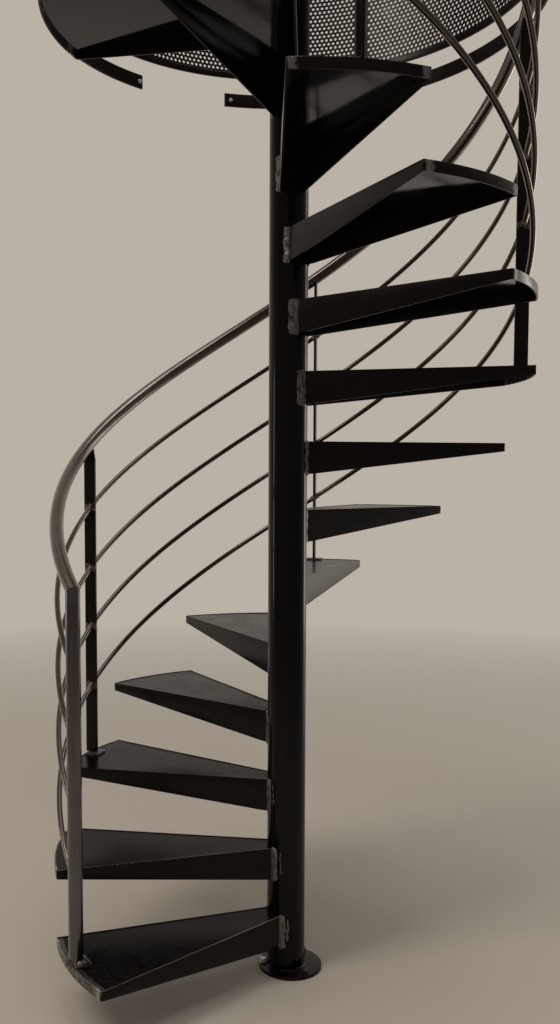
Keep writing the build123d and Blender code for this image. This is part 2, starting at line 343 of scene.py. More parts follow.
def pan_outline(half_span, radius, inset, corner):
    """The pan's outline, set in from its outer face: out along the nosing flange, round the rim and back.

    A flange runs straight from the root to the rim. At the rim a small arc of radius corner joins it to
    the rolled flat: its centre is inset + corner inside both lines, so it solves a line and a circle."""
    centre = crossing(*flange_line(half_span, radius, inset + corner), radius - inset - corner)
    start, slope = flange_line(half_span, radius, inset)
    first = crossing(start, slope, column_radius - into_column)
    from_angle, to_angle = atan2(1, -slope), atan2(centre[1], centre[0])
    bend = centre + corner * unit(np.linspace(from_angle, to_angle, corner_points))
    straight = first + (bend[0] - first) * np.linspace(0, 1, flange_points)[:, None]
    rim = (radius - inset) * unit(np.linspace(to_angle, -to_angle, rim_points))
    half = np.concatenate([straight[:-1], bend[:-1]])
    return np.concatenate([half, rim, half[::-1] * (1, -1)])


def pan_walls(half_span, radius, depths, bare_rim, worn_and_highlit_edge, seed):
    """The flanges and rim flat as one strip: a bar's section with rounded edges, carried round the outline.

    The section goes from the outer face to the inner one and from the top down to the depth, which falls
    in a straight line between the two depths. Bare is bare_rim along the rim and up to 0.75 more at
    its corners. Worn_and_highlit_edge is what the nosing's top edge adds at the column, and halves towards
    the rim: worn paint, which near 1 also paints a highlight of near-white steel along the edge."""
    outer = pan_outline(half_span, radius, inset=0, corner=3)
    inner = pan_outline(half_span, radius, inset=flange, corner=4)
    tip_x = radius * cos(radians(half_span))
    start_x = column_radius * tip_x / radius
    share = np.clip((outer[:, 0] - start_x) / (tip_x - start_x), 0, 1)
    depth = depths[0] + (depths[1] - depths[0]) * share
    turn = np.linspace(0, pi / 2, 4)
    rounded = edge_round * (1 - np.cos(turn))
    down = np.concatenate([edge_round * (1 - np.sin(turn)), rounded])
    in_from_face = np.concatenate([rounded, flange - edge_round * (1 - np.sin(turn))])
    across = np.concatenate([in_from_face, in_from_face[::-1]]) / flange
    from_top = np.concatenate([down, np.zeros_like(down)])
    from_low = np.concatenate([np.zeros_like(down), down[::-1]])
    top = np.arange(len(across)) < len(down)
    z = np.where(top, -from_top, -depth[:, None] + from_low)
    plan = outer[:, None] + (inner - outer)[:, None] * across[None, :, None]
    rings = np.concatenate([plan, z[..., None]], 2)
    random = np.random.default_rng(seed)
    second_on_rim = flange_points + corner_points - 1
    corner_places = np.array([second_on_rim, len(outer) - 1 - second_on_rim])
    run = np.concatenate([[0], np.linalg.norm(np.diff(outer, axis=0), axis=1).cumsum()])
    corner_run = run[corner_places]
    near = np.abs(run[:, None] - corner_run).min(1)
    on_rim = (run > corner_run[0] - 4) & (run < corner_run[1] + 4)
    bare = np.where(on_rim, bare_rim, 0.0) + 0.75 * np.exp(-(near / 13) ** 2)
    # Along the top outer edge the bareness rises: worn paint, and where it nears 1 a painted highlight of
    # near-white steel.
    edge = (across < 0.6) & top & (from_top < edge_round * 0.75)
    worn = np.where(run < corner_run[0], worn_and_highlit_edge * (1 - 0.5 * run / corner_run[0]), usual_worn_and_highlit_edge)
    worn = worn + 0.16 * np.interp(run, np.linspace(0, run[-1], 12), random.random(12))
    bare = np.clip(bare[:, None] + worn[:, None] * edge, 0, 1)
    return rings, bare


def pan_plate(half_span, radius, ground_band, seed):
    """The let-in plate: lines fan out from the root, cut by the column and by the rim's inner face.

    A line's y is a share of the inner flange's y at each x, and x runs between its crossings of the two
    circles. The profile runs along the underside and back along the top, so that faces point outwards. The
    plate dishes by a fraction of a millimetre, as thin plate does between welds. Ground_band is the bareness
    of its top beside the rim, which fades with the square of the distance over 14 mm."""
    start, slope = flange_line(half_span, radius, flange - into_flats)
    share = np.sin(np.linspace(-pi / 2, pi / 2, 21))
    steps = np.sin(np.linspace(0, pi / 2, 40))
    near, far = [crossing(share * start, share * slope, ring)[:, 0]
                 for ring in (column_radius - into_column, radius - flange + into_flats)]
    x = near + (far - near) * steps[:, None]
    y = share * (start + slope * x)
    random = np.random.default_rng(seed + 40)
    shift = random.random(4) * 6
    wave = 0.35 * np.sin(x / 90 + shift[0]) * np.sin(share * 2.4 + shift[1])
    wave = wave + 0.2 * np.sin(x / 47 + y / 60 + shift[2])
    edge = 1 - np.abs(share) ** 8
    top = points_of(x, y, -plate_drop + wave * edge - 0.25)
    bottom = points_of(x, y, -plate_drop - plate + wave * edge * 0.6)
    bare = ground_band * np.exp(-((radius - flange - np.hypot(x, y)) / 14) ** 2)
    return np.concatenate([bottom, top[:, ::-1]], 1), np.concatenate([np.zeros_like(bare), bare[:, ::-1]], 1)


def column_weld(half_span, radius, side, depth, seed, leg_round):
    """The weld that joins a flange's end to the column, as a bead carried upwards.

    In plan it spans from the flange's outer face, flange_leg from the corner, round to the column,
    leg_round along it, and bulges by a share of its width. Both legs and the bulge waver with height by
    sums of sines, and the bead narrows to nothing over its last 5 mm."""
    flange_leg, taper = 6, 5
    start_y, slope = flange_line(half_span, radius)
    corner = crossing(start_y, slope, column_radius)
    outward = np.array([1, slope]) / sqrt(1 + slope * slope)
    normal = np.array([-outward[1], outward[0]])
    random = np.random.default_rng(seed + 90)
    height = np.arange(-depth - taper, 4.5, 1.6)
    phase = random.random(8) * 2 * pi
    waver = np.sin(height / 2.2 + phase[0]) * 0.35 + np.sin(height / 5.1 + phase[1]) * 0.7
    waver = waver + np.sin(height / 13 + phase[2]) * 0.9
    other = np.sin(height / 3.3 + phase[3]) * 0.7 + np.sin(height / 8.7 + phase[4]) * 1.1
    ends = np.clip(np.minimum(height - height[0], height[-1] - height) / taper, 0, 1) ** 0.5
    ends = 0.15 + 0.85 * ends
    start = corner + outward * ((flange_leg + waver) * ends)[:, None]
    around = atan2(corner[1], corner[0]) + (leg_round + other) * ends / column_radius
    finish = column_radius * unit(around)
    share = np.linspace(0, 1, 9)
    bulge = ((1.5 + 0.35 * waver) * ends)[:, None] * np.sin(share * pi)
    chord = finish - start
    rise_way = np.stack([-chord[:, 1], chord[:, 0]], 1)
    rise_way /= np.linalg.norm(rise_way, axis=1)[:, None]
    rise_way *= np.sign((rise_way * (corner + normal * 10)).sum(1))[:, None]
    face = start[:, None] + chord[:, None] * share[:, None] + rise_way[:, None] * bulge[..., None]
    # The bead's back lies inside the column and the flange.
    behind = np.stack([finish * (1 - 2.5 / column_radius), np.broadcast_to(corner * 0.94, finish.shape),
                       start - normal * 2.0], 1)
    plan = np.concatenate([face, behind], 1)
    rings = points_of(plan[..., 0], side * plan[..., 1], height[:, None])
    return rings if side > 0 else rings[:, ::-1]


def toe_run(climb_offset, half_width, seed):
    """A thin ragged run of weld on the column beside a nosing flange, as a round bead carried upwards."""
    random = np.random.default_rng(seed + 130)
    height = np.arange(toe_low, toe_high, 1.8)
    phase = random.random(6) * 2 * pi
    wander = 1.2 * np.sin(height / 11 + phase[0]) + 0.8 * np.sin(height / 4.3 + phase[1])
    width = half_width + 0.8 * np.sin(height / 3.1 + phase[2]) + 0.5 * np.sin(height / 7 + phase[3])
    width = width * np.clip(np.minimum(height - toe_low, height[-1] - height) / 8 + 0.1, 0.1, 1)
    turn = np.linspace(2 * pi, 0, 9)[:-1]
    away = radians(climb_offset) + (wander[:, None] + width[:, None] * np.cos(turn)) / column_radius
    out = column_radius + width[:, None] * 0.6 * np.sin(turn)
    return points_of(out * np.cos(away), out * np.sin(away), height[:, None])


# The underside of a plate is never touched, so its lacquer keeps the full gloss and mirrors what is below.
plate_underside = lacquer_on_steel("black gloss lacquer under a tread plate", "#050404", "#100d0b",
                                   0.045, 0.3)

# The walked-on side has the same lacquer. Soles leave a thin grey film on it with a few long fine scratches,
# and near the rim of the lowest tread the paint is torn as on the flats.
walked_plate, node, shader, place = new_material("black lacquer dulled by shoe soles")
dust = node("TexNoise", {"Vector": place, "Scale": 11, "Detail": 4, "Roughness": 0.6})
grit = node("TexNoise", {"Vector": place, "Scale": 60, "Detail": 3, "Roughness": 0.6})
film = node("Math", {0: dust, 1: grit}, operation="MULTIPLY")
film = node("MapRange", {0: film, 1: 0.12, 2: 0.42})
soled = node("Mix", {0: film, 6: linear("#050404"), 7: linear("#14110f")}, **colour_mix)
swirls = {"Vector": place, "Scale": 9, "Distortion": 14, "Detail": 3, "Detail Scale": 1.4}
scratches = node("TexWave", swirls, output="Fac", bands_direction="DIAGONAL")
scratches = node("MapRange", {0: scratches, 1: 0.985, 2: 1.0, 3: 0.0, 4: 0.1})
soled = node("Mix", {0: scratches, 6: soled, 7: linear("#5b5855")}, **colour_mix)
torn = torn_paint(node, place)[0]
worn = node("MapRange", {0: film, 3: 0.2, 4: 0.32})
set_inputs(shader, {
    "Base Color": node("Mix", {0: torn, 6: soled, 7: linear("#6b6763")}, **colour_mix),
    "Metallic": torn,
    "Roughness": node("Mix", {0: torn, 2: worn, 3: 0.4}),
    "Normal": node("Bump", {"Strength": 0.06, "Distance": 0.0004, "Height": grit}),
    "IOR": 1.45,
    "Specular IOR Level": 0.085})

# Bare weld metal is left unpainted after grinding: grey steel in strands along the bead, 4 mm wide, with dark
# slag in the hollows between them.
bare_weld, node, shader, place = new_material("bare ground weld on mild steel")
surface = node("UVMap", uv_map="Surface")
strands = node("VectorMath", {0: surface, 1: (260, 45, 1)}, operation="MULTIPLY")
slag = node("TexNoise", {"Vector": strands, "Scale": 1, "Detail": 3, "Roughness": 0.6})
slag = node("MapRange", {0: slag, 1: 0.36, 2: 0.62})
set_inputs(shader, {
    "Base Color": node("Mix", {0: slag, 6: linear("#35312e"), 7: linear("#8d8882")}, **colour_mix),
    "Roughness": node("MapRange", {0: slag, 3: 0.55, 4: 0.36}),
    "Normal": node("Bump", {"Strength": 0.4, "Distance": 0.0007, "Height": slag}),
    "Metallic": 0.7})

tread_count, tread_half_span, tread_radius = 13, 14, 692
landing_start, landing_span, landing_radius = 298.2, 83.6, 711.7
# A pan's depths are those of its flats at the column and at the rim.
tread_depths, landing_depths = (96, 26), (80, 20)
# Bareness of the rim and of the nosing's top edge by tread, and the usual one. The top edge's bareness is
# worn paint and also paints a highlight along that edge.
rim_bareness, usual_rim = {1: 0.52, 2: 0.45, 8: 0.55, 9: 0.5, 10: 0.3, 11: 0.2, 12: 0.1}, 0.3
worn_and_highlit_edges, usual_worn_and_highlit_edge = {1: 1.1, 2: 0.75}, 0.28
# Two treads have a wider weld round the column: their numbers, its leg there and the usual one.
wide_weld_treads, wide_leg, usual_leg = (9, 10), 25, 14
toe_low, toe_high = -78, -6


def tread_place(number):
    """A tread's climb angle and the height of its top. The two rises under the landing are a bit higher."""
    height = first_rise + (number - 1) * rise + max(0, number + 1 - tread_count) * (top_rise - rise)
    return first_tread_angle + (number - 1) * step_angle, height


def pan_piece(name, node, half_span, radius, climb_angle, height, depths, number):
    """Builds one pan with its plate, and the bare welds that join it to the column. The number also
    starts its random values."""
    first = number == 1
    walls, bare = pan_walls(half_span, radius, depths, rim_bareness.get(number, usual_rim),
                            worn_and_highlit_edges.get(number, usual_worn_and_highlit_edge), number)
    tread_plate, ground = pan_plate(half_span, radius, 1.0 if first else 0.0, number)
    mesh = make_piece(name, [carry(turned(walls, climb_angle, height), bare=bare),
                             carry(turned(tread_plate, climb_angle, height), bare=ground)],
                      [black_lacquer, walked_plate], node)
    mesh.materials.append(plate_underside)
    finish, normal = np.empty(len(mesh.polygons), np.int32), np.empty(3 * len(mesh.polygons), np.float32)
    mesh.polygons.foreach_get("material_index", finish)
    mesh.polygons.foreach_get("normal", normal)
    finish[(finish == 1) & (normal[2::3] < -0.5)] = 2
    mesh.polygons.foreach_set("material_index", finish)
    leg_round = wide_leg if number in wide_weld_treads else usual_leg
    toe_angle, toe_width = (62, 3.6) if first else (66, 1.7)
    beads = [column_weld(half_span, radius, side, depths[0], number + side, leg_round) for side in (1, -1)]
    beads.append(toe_run(toe_angle, toe_width, number))
    make_piece(name + "_welds", [carry(turned(bead, climb_angle, height)) for bead in beads],
               bare_weld)


for number in range(1, tread_count + 1):
    pan_piece(f"tread_pan_{number:02d}", f"tread_{number:02d}", tread_half_span, tread_radius,
              *tread_place(number), tread_depths, number)
landing_height = tread_place(tread_count + 1)[1]
pan_piece("landing_pan", "landing", landing_span / 2, landing_radius, landing_start + landing_span / 2,
          landing_height, landing_depths, tread_count + 1)

# Newels and handrail
# The newels are 40 mm mild steel tube, brushed along their length and left bare under a clear coat. The
# first one is mitred to the handrail, which is bent from the same tube and follows the climb.
rail_radius, rail_tube, rail_height = 676, 20, 1013
newel_inset = 3.4
top_newel_angle = landing_start + newel_inset
corner_newel_angle = landing_start + landing_span - newel_inset
rail_pitch = rise * 360 / step_angle
slope_angle = atan2(rail_pitch, 2 * pi * rail_radius)
foot_top = 4.5


def brushed_steel(name, dark, light, rough, lines_across):
    """Brushed mild steel under clear coat: neutral grey, with fine lines along the tube's own length that
    stretch each highlight, and brown-grey stains a hand long where the bending heat discoloured it.
    Lines_across is the number of brush lines in a metre round the tube; a line is 250 mm long."""
    made, node, shader, place = new_material(name)
    surface = node("UVMap", uv_map="Surface")
    surface = node("VectorMath", {0: surface, 1: (lines_across, 4, 1)}, operation="MULTIPLY")
    lines = node("TexNoise", {"Vector": surface, "Scale": 1, "Detail": 1})
    lines = node("MapRange", {0: lines, 1: 0.25, 2: 0.75})
    stain = node("TexNoise", {"Vector": place, "Scale": 9, "Detail": 4, "Roughness": 0.6})
    stain = node("MapRange", {0: stain, 1: 0.42, 2: 0.7, 3: 0.0, 4: 0.65})
    tone = node("Mix", {0: lines, 6: linear(dark), 7: linear(light)}, **colour_mix)
    set_inputs(shader, {
        "Base Color": node("Mix", {0: stain, 6: tone, 7: linear("#4d3f35")}, **colour_mix),
        "Roughness": node("MapRange", {0: lines, 3: rough, 4: rough + 0.06}),
        "Normal": node("Bump", {"Strength": 0.02, "Distance": 0.0001, "Height": lines}),
        "Metallic": 1.0,
        "Coat Weight": 1.0,
        "Coat Roughness": 0.06})
    return made


# These three are one brushed steel. The tube's warm brown and the rods' darker brown partly paint the dim
# room that they mirror and the shade on the backlit rods; the newel keeps a neutral grey.
brushed_tube = brushed_steel("brushed mild steel tube", "#58504a", "#756c65", 0.2, 200)
newel_tube = brushed_steel("brushed mild steel newel", "#4e4a4b", "#6a6667", 0.2, 200)
brushed_rod = brushed_steel("brushed mild steel rod", "#463c34", "#5a4f46", 0.14, 300)


def helix_frame(climb):
    """The helix's points, outward direction, side direction and way forward, for climb angles from tread 1.

    A point is at the rail's radius and rises rail_pitch for each full turn. The side direction is square
    to both the way forward and the outward direction."""
    turn = np.radians(180 - (first_tread_angle + climb))
    x, y = np.cos(turn), np.sin(turn)
    outward = points_of(x, y, 0)
    forward = points_of(y * cos(slope_angle), -x * cos(slope_angle), sin(slope_angle))
    middle = points_of(x * rail_radius, y * rail_radius, first_rise + rail_pitch * climb / 360)
    return middle, outward, np.cross(forward, outward), forward


def helical_bar(radius, sides, climb, height):
    """A round bar along the helix at a height above the treads' line: circles square to the way forward."""
    middle, outward, side, _ = helix_frame(climb)
    x, y = circle(1, sides)
    ring = x[:, None] * outward[:, None] + y[:, None] * side[:, None]
    return middle[:, None] + np.reshape(radius, (-1, 1, 1)) * ring + (0, 0, height)


def rounded_outline(half_x, half_y, corner, points=4):
    """A rounded rectangle's x and y: points on a quarter circle at each corner, whose middle lies half a
    side less the corner's radius from the axes. Half_x may be a column, for a row of x to each."""
    quarter = unit(np.linspace(0, pi / 2, points))
    signs = np.array([(1, 1), (-1, 1), (-1, -1), (1, -1)])
    arcs = np.concatenate([quarter[::way] * sign for way, sign in zip((1, -1, 1, -1), signs)]) * corner
    signs = np.repeat(signs, points, axis=0)
    return signs[:, 0] * (half_x - corner) + arcs[:, 0], signs[:, 1] * (half_y - corner) + arcs[:, 1]


# The mitre is a plane through the corner, halfway between the newel and the rail. Each point of the last
# ring slides along its own tube until it lies in that plane.
climbs = np.linspace(0, top_newel_angle - first_tread_angle, 172)
rail_rings = helical_bar(rail_tube, 40, climbs, rail_height)
middle, _, _, forward = helix_frame(np.array([0.0]))
corner_point = middle[0] + (0, 0, rail_height)
mitre_normal = forward[0] + (0, 0, 1)
slide = -((rail_rings[0] - corner_point) @ mitre_normal) / (forward[0] @ mitre_normal)
rail_rings[0] += slide[:, None] * forward[0]
make_piece("handrail_tube", [carry(rail_rings)], brushed_tube, "handrail")

newel_rows = [(rail_tube, z) for z in np.linspace(first_rise + foot_top, first_rise + rail_height, 14)]
newel_rings = turned(upright_rings(newel_rows, 40, rail_radius), first_tread_angle)
newel_rings[-1, :, 2] -= (newel_rings[-1] - corner_point) @ mitre_normal / mitre_normal[2]


def foot_plate(climb_angle, height):
    """The small plate under a post, as its rounded outline carried up, with a slight bevel at the top."""
    half_x, half_y, corner = 22, 30, 4
    outer_edge = sqrt((tread_radius - flange - 0.3) ** 2 - half_y ** 2)
    x, y = rounded_outline(half_x, half_y, corner, 5)
    bevel = np.array([(-1.6, 0), (foot_top - 0.8, 0), (foot_top - 0.2, 0.3), (foot_top, 1.0)])
    share = 1 - bevel[:, 1:] * 2 / (half_x + half_y)
    return turned(points_of(share * x + outer_edge - half_x, share * y, bevel[:, :1]), climb_angle, height)


def weld_ring(climb_angle, height, leg, waver, seed):
    """The fillet weld at a newel's foot: a rounded triangle carried round, its legs wavering by sines."""
    random = np.random.default_rng(seed)
    turn = full_turn(48)
    phase = random.random(3) * 2 * pi
    size = leg * (1 + waver * np.sin(turn * 5 + phase[0]) + waver * np.sin(turn * 11 + phase[1])
                  + 0.5 * waver * np.sin(turn * 19 + phase[2]))
    out = rail_tube - 0.8 + size[:, None] * np.array([0, 0.45, 0.8, 1.0, 1.0, 0])
    up = size[:, None] * np.array([1.0, 0.8, 0.45, 0.0, -0.2, -0.2])
    ring = points_of(rail_radius + out * np.cos(turn)[:, None], out * np.sin(turn)[:, None], up)
    return turned(ring, climb_angle, height)


newel_weld = weld_ring(first_tread_angle, first_rise + foot_top, leg=9, waver=0.28, seed=3)
make_piece("first_newel_tube", [carry(newel_rings), carry(foot_plate(first_tread_angle, first_rise))],
           newel_tube, "bottom_newel")
make_piece("first_newel_weld", [carry(newel_weld, loop=True)], bare_weld)

low, high = landing_height + foot_top, landing_height + rail_height + rail_tube
rows = [(rail_tube, low), (rail_tube, (low + high) / 2), (rail_tube, high - 2), (rail_tube - 0.6, high - 0.6),
        (rail_tube - 2, high)]
for node, angle in (("top_newel", top_newel_angle), ("corner_newel", corner_newel_angle)):
    make_piece(node + "_tube", [carry(turned(upright_rings(rows, 40, rail_radius), angle)),
                                carry(foot_plate(angle, landing_height)),
                                carry(weld_ring(angle, low, leg=6, waver=0.15, seed=5), loop=True)],
               [newel_tube, newel_tube, bare_weld], node)

# Rods
# Four 16 mm round bars, bent like the handrail, run through holes in the balusters. They are tacked to
# the first newel and to the balusters with small welds and left bare like the tubes.
rod_radius = 8
rod_heights = (226, 420, 610, 806)
baluster_numbers = (3, 6, 9, 12)
rod_climbs = np.linspace(1.2, 332.2, 168)
# A tack weld's rows are degrees of climb from the newel or the baluster, and its thickness on the rod.
newel_tack = np.array([(1.4, 3.0), (1.7, 2.4), (1.95, 1.5), (2.2, 0.6), (2.4, -0.3)])
baluster_tack = np.array([(-1.25, -0.3), (-1.0, 0.7), (-0.75, 1.6), (-0.45, 2.2),
                          (0.45, 2.2), (0.75, 1.6), (1.0, 0.7), (1.25, -0.3)])
for index, height in enumerate(rod_heights):
    tacks = []
    for number in (1,) + baluster_numbers:
        reach, size = (newel_tack if number == 1 else baluster_tack).T
        tacks.append(carry(helical_bar(rod_radius + size, 16, (number - 1) * step_angle + reach, height)))
    make_piece(f"rod_bar_{index + 1}", [carry(helical_bar(rod_radius, 16, rod_climbs, height))] + tacks,
               [brushed_rod] + [bare_weld] * len(tacks), f"rod_{index + 1}")

# Balusters
# Every third tread carries a 40 x 8 mm flat bar on a small foot, cut to a taper under the handrail. The
# rods pass through its middle. It is lacquered black, and scorched to bare steel beside each weld.
bar_width, bar_thickness, tip_width, tip_length = 40, 8, 22, 30


def flat_bar(rows, thickness):
    """An upright flat bar from rows of middle x, width and height, its edges rounded by a millimetre."""
    rows = np.asarray(rows, float)
    x, y = rounded_outline(rows[:, 1:2] / 2, thickness / 2, 1)
    return points_of(rows[:, :1] + x, y, rows[:, 2:])


# Scorching fades with the square of the distance, over 24 mm from a rod and 14 mm from the foot.
shoulder = rail_height - rail_tube - tip_length
levels = np.concatenate([np.linspace(foot_top - 0.5, shoulder, 90), [rail_height - rail_tube + 3]])
scorched = 0.56 * np.exp(-(np.abs(levels[:, None] - rod_heights).min(1) / 24) ** 2)
scorched = scorched + 0.5 * np.exp(-(levels / 14) ** 2)
taper = np.maximum(levels - shoulder, 0) / (rail_height - shoulder)
bar_rows = np.stack([np.full(91, rail_radius), bar_width + (tip_width - bar_width) * taper, levels], 1)
bar = flat_bar(bar_rows, bar_thickness)
for number in baluster_numbers:
    angle, height = tread_place(number)
    make_piece(f"baluster_bar_{number:02d}", [carry(turned(bar, angle, height), bare=scorched[:, None]),
                                              carry(foot_plate(angle, height), bare=0.5)],
               black_lacquer, f"baluster_{number:02d}")

# Wall flats and their bolts
# Rolled 45 x 8 mm flats, painted dark brown-black, are bolted round the stairwell level with the landing:
# a short bracket beside the landing's corner, and a long run behind the stair.
flat_radius, flat_thickness, flat_height, flat_rise = 712, 8, 45, 38
flat_top = landing_height + flat_rise
guard_radius = flat_radius + flat_thickness / 2


def rolled_flat(start, end, bottom, height):
    """A flat bar on edge, rolled to a radius: its rounded section carried along the climb angle."""
    x, z = rounded_outline(flat_thickness / 2, height / 2, 1)
    angle = np.linspace(start, end, max(8, int((end - start) / 1.6)))
    return turned(points_of(guard_radius + x, 0, bottom + height / 2 + z), angle[:, None])


flat_paint = lacquer_on_steel("dark brown-black paint on rolled flat", "#100c0a", "#221a14", 0.24, 0.2)
bracket_end, run_start, flat_overlap = 47.7, 73.7, 8
bay_ends = np.linspace(21.0, 297.6, 4)
wall_bolt_size = (11, 4.5, 7, 1.2)
bolt_step, bracket_bolt_step = degrees(22 / guard_radius), degrees(12 / guard_radius)
bracket_start = landing_start + landing_span - 360 - flat_overlap
flat_runs = [(bracket_start, bracket_end, [bracket_end - bracket_bolt_step]),
             (run_start, bay_ends[1], [run_start + bolt_step, bay_ends[1] - bolt_step]),
             (bay_ends[1], bay_ends[2], [bay_ends[1] + bolt_step, bay_ends[2] - bolt_step]),
             (bay_ends[2], landing_start + flat_overlap, [bay_ends[2] + bolt_step])]
for index, (start, end, bolt_angles) in enumerate(flat_runs, start=1):
    flat = rolled_flat(start, end, flat_top - flat_height, flat_height)
    make_piece(f"wall_flat_bar_{index}", [carry(flat)], flat_paint, f"wall_flat_{index}")
    for bolt, angle in enumerate(bolt_angles, start=1):
        inward = np.append(-unit(radians(180 - angle)), 0)
        seat = -inward * flat_radius + (0, 0, flat_top - flat_height / 2)
        make_piece(f"wall_bolt_{index}_{bolt}", [hexagon_bolt(seat, inward, *wall_bolt_size)],
                   zinc_plate)

# Guard round the stairwell
# Flat posts stand on the wall flats and carry curved sheets of round-hole perforated steel, framed by a
# flat above and below, and the same 40 mm tube on top. The sheets are dark painted, with the posts.
post_width, frame_bar, frame_gap = 25, 20, 55
guard_top = landing_height + rail_height
frame_bottom, frame_top = flat_top + frame_gap, guard_top - rail_tube - 0.3
post_half_angle = degrees((post_width / 2 + 0.3) / flat_radius)

post_rows = [(guard_radius, flat_thickness, z) for z in np.linspace(flat_top, frame_top, 12)]
for index, angle in enumerate(bay_ends, start=1):
    make_piece(f"guard_post_bar_{index}", [carry(turned(flat_bar(post_rows, post_width), angle))],
               black_lacquer, f"guard_post_{index}")

hole_pitch, hole_radius, hole_sides, sheet_thickness = 16.1, 4.9, 8, 2
row_height = hole_pitch * sqrt(3) / 2


def brick_with_hole():
    """One brick of the flat sheet: the points of its outline and its hole, and the triangles between them.

    The outline has four corners and the middles of its long sides, and both go round from the right. Going
    round, each triangle takes in the next point of the outline or of the hole, whichever comes first."""
    outline = np.array([(1, 1), (0.5, 1), (0, 1), (0, 0), (0.5, 0), (1, 0)]) * (hole_pitch, row_height)
    centre = np.array([hole_pitch, row_height]) / 2
    turn = full_turn(hole_sides) + pi / hole_sides
    hole = centre + hole_radius * unit(turn)
    outer_angle = np.degrees(np.arctan2(*(outline - centre).T[::-1])) % 360
    outer_angle = np.append(outer_angle, outer_angle[0] + 360)
    hole_angle = np.degrees(np.append(turn, turn[0] + 2 * pi))
    triangles = []
    a = b = 0
    while a < 6 or b < hole_sides:
        one, two = a % 6, 6 + b % hole_sides
        if b == hole_sides or (a < 6 and outer_angle[a + 1] <= hole_angle[b + 1]):
            a += 1
            triangles.append((one, a % 6, two))
        else:
            b += 1
            triangles.append((one, 6 + b % hole_sides, two))
    return np.concatenate([outline, hole]), np.array(triangles)


def perforated_sheet(start, end, bottom, top):
    """A curved sheet with round holes in staggered rows, with front, back and the walls between them.

    The flat sheet is laid in rows of bricks, each row moved by half a brick, and each brick has one hole.
    The middles of a brick's long sides are where its neighbours' corners lie, so the rows share every
    corner. Half bricks without holes and plain strips fill the sides. An edge that only one face has lies
    on a hole or on the rim and gets a wall. The sheet then wraps round the stairwell: the distance along
    it divided by its radius is the angle."""
    length, height = radians(end - start) * guard_radius, top - bottom
    columns = int((length - 4) // hole_pitch)
    rows = int((height - 6) // row_height)
    rows -= 1 - rows % 2
    left, low = (length - columns * hole_pitch) / 2, (height - rows * row_height) / 2
    right = left + columns * hole_pitch
    stops = [0, *(left + np.arange(2 * columns + 1) * hole_pitch / 2), length]
    bricks, plain = [], [(stops, 0, low), (stops, height - low, height)]
    for row in range(rows):
        shift, y = (row % 2) * hole_pitch / 2, low + row * row_height
        bricks += [(left + shift + k * hole_pitch, y) for k in range(columns - row % 2)]
        plain += [(sorted({0, left, left + shift}), y, low + (row + 1) * row_height),
                  (sorted({right - shift, right, length}), y, low + (row + 1) * row_height)]
    quads = np.array([[(x0, y0), (x1, y0), (x1, y1), (x0, y1)]
                      for stops, y0, y1 in plain for x0, x1 in zip(stops, stops[1:])])
    template, triangles = brick_with_hole()
    flat = np.concatenate([(np.array(bricks)[:, None] + template).reshape(-1, 2), quads.reshape(-1, 2)])
    merged, where = np.unique(np.round(flat * 1000).astype(np.int64), axis=0, return_inverse=True)
    merged, where = merged / 1000, where.ravel()
    count, firsts = len(merged), np.arange(len(bricks)) * len(template)
    front = [where[(firsts[:, None, None] + triangles).reshape(-1, 3)],
             where[-4 * len(quads):].reshape(-1, 4)]
    edges = np.concatenate([np.stack([part, np.roll(part, -1, 1)], 2).reshape(-1, 2) for part in front])
    # Both ways along an edge get a number each; an edge is lone if its other way's number is missing.
    lone = edges[~np.isin(edges @ (count, 1), edges @ (1, count))]
    walls = np.stack([lone[:, 1], lone[:, 0], lone[:, 0] + count, lone[:, 1] + count], 1)
    back = [(part + count)[:, ::-1] for part in front]
    faces = [face for part in (*front, *back, walls) for face in part.tolist()]
    climb = start + np.degrees(merged[:, 0] / guard_radius)
    sides = [turned(points_of(guard_radius + out, 0, bottom + merged[:, 1]), climb)
             for out in (-sheet_thickness / 2, sheet_thickness / 2)]
    return np.concatenate(sides), faces


# Painted perforated sheet: dark warm grey paint, thin and matt, a little lighter where it has worn.
sheet_paint, node, shader, place = new_material("dark paint on perforated steel sheet")
patch = node("TexNoise", {"Vector": place, "Scale": 24, "Detail": 3, "Roughness": 0.6})
patch = node("MapRange", {0: patch, 1: 0.35, 2: 0.7})
set_inputs(shader, {
    "Base Color": node("Mix", {0: patch, 6: linear("#0a0806"), 7: linear("#17120d")}, **colour_mix),
    "Roughness": node("MapRange", {0: patch, 3: 0.34, 4: 0.5}),
    "Specular IOR Level": 0.25})

# The rails meet over the inner posts and reach over the outer ones to their far edges.
rail_ends = bay_ends + post_half_angle * np.array([-1, 0, 0, 1])
for index in range(1, len(bay_ends)):
    start, end = bay_ends[index - 1] + post_half_angle, bay_ends[index] - post_half_angle
    points, faces = perforated_sheet(start, end, frame_bottom + 1, frame_top - 1)
    mesh = bpy.data.meshes.new(f"guard_sheet_{index}")
    mesh.from_pydata(points / 1000, [], faces)
    mesh.materials.append(sheet_paint)
    mesh.shade_flat()
    ride_on_root(f"guard_sheet_{index}", mesh, f"guard_panel_{index}")
    bars = [carry(rolled_flat(start, end, low, frame_bar)) for low in (frame_bottom, frame_top - frame_bar)]
    make_piece(f"guard_frame_{index}", bars, flat_paint)
    x, y = circle(rail_tube, 32)
    angle = np.linspace(rail_ends[index - 1], rail_ends[index], 64)
    rail = turned(points_of(guard_radius + x, 0, guard_top + y), angle[:, None])
    make_piece(f"guard_rail_tube_{index}", [carry(rail)], brushed_tube, f"guard_rail_{index}")

# Rail across the landing
# One straight tube and four straight rods close the landing's open edge, welded between the column and
# the corner newel. They are brushed and bare like the handrail.


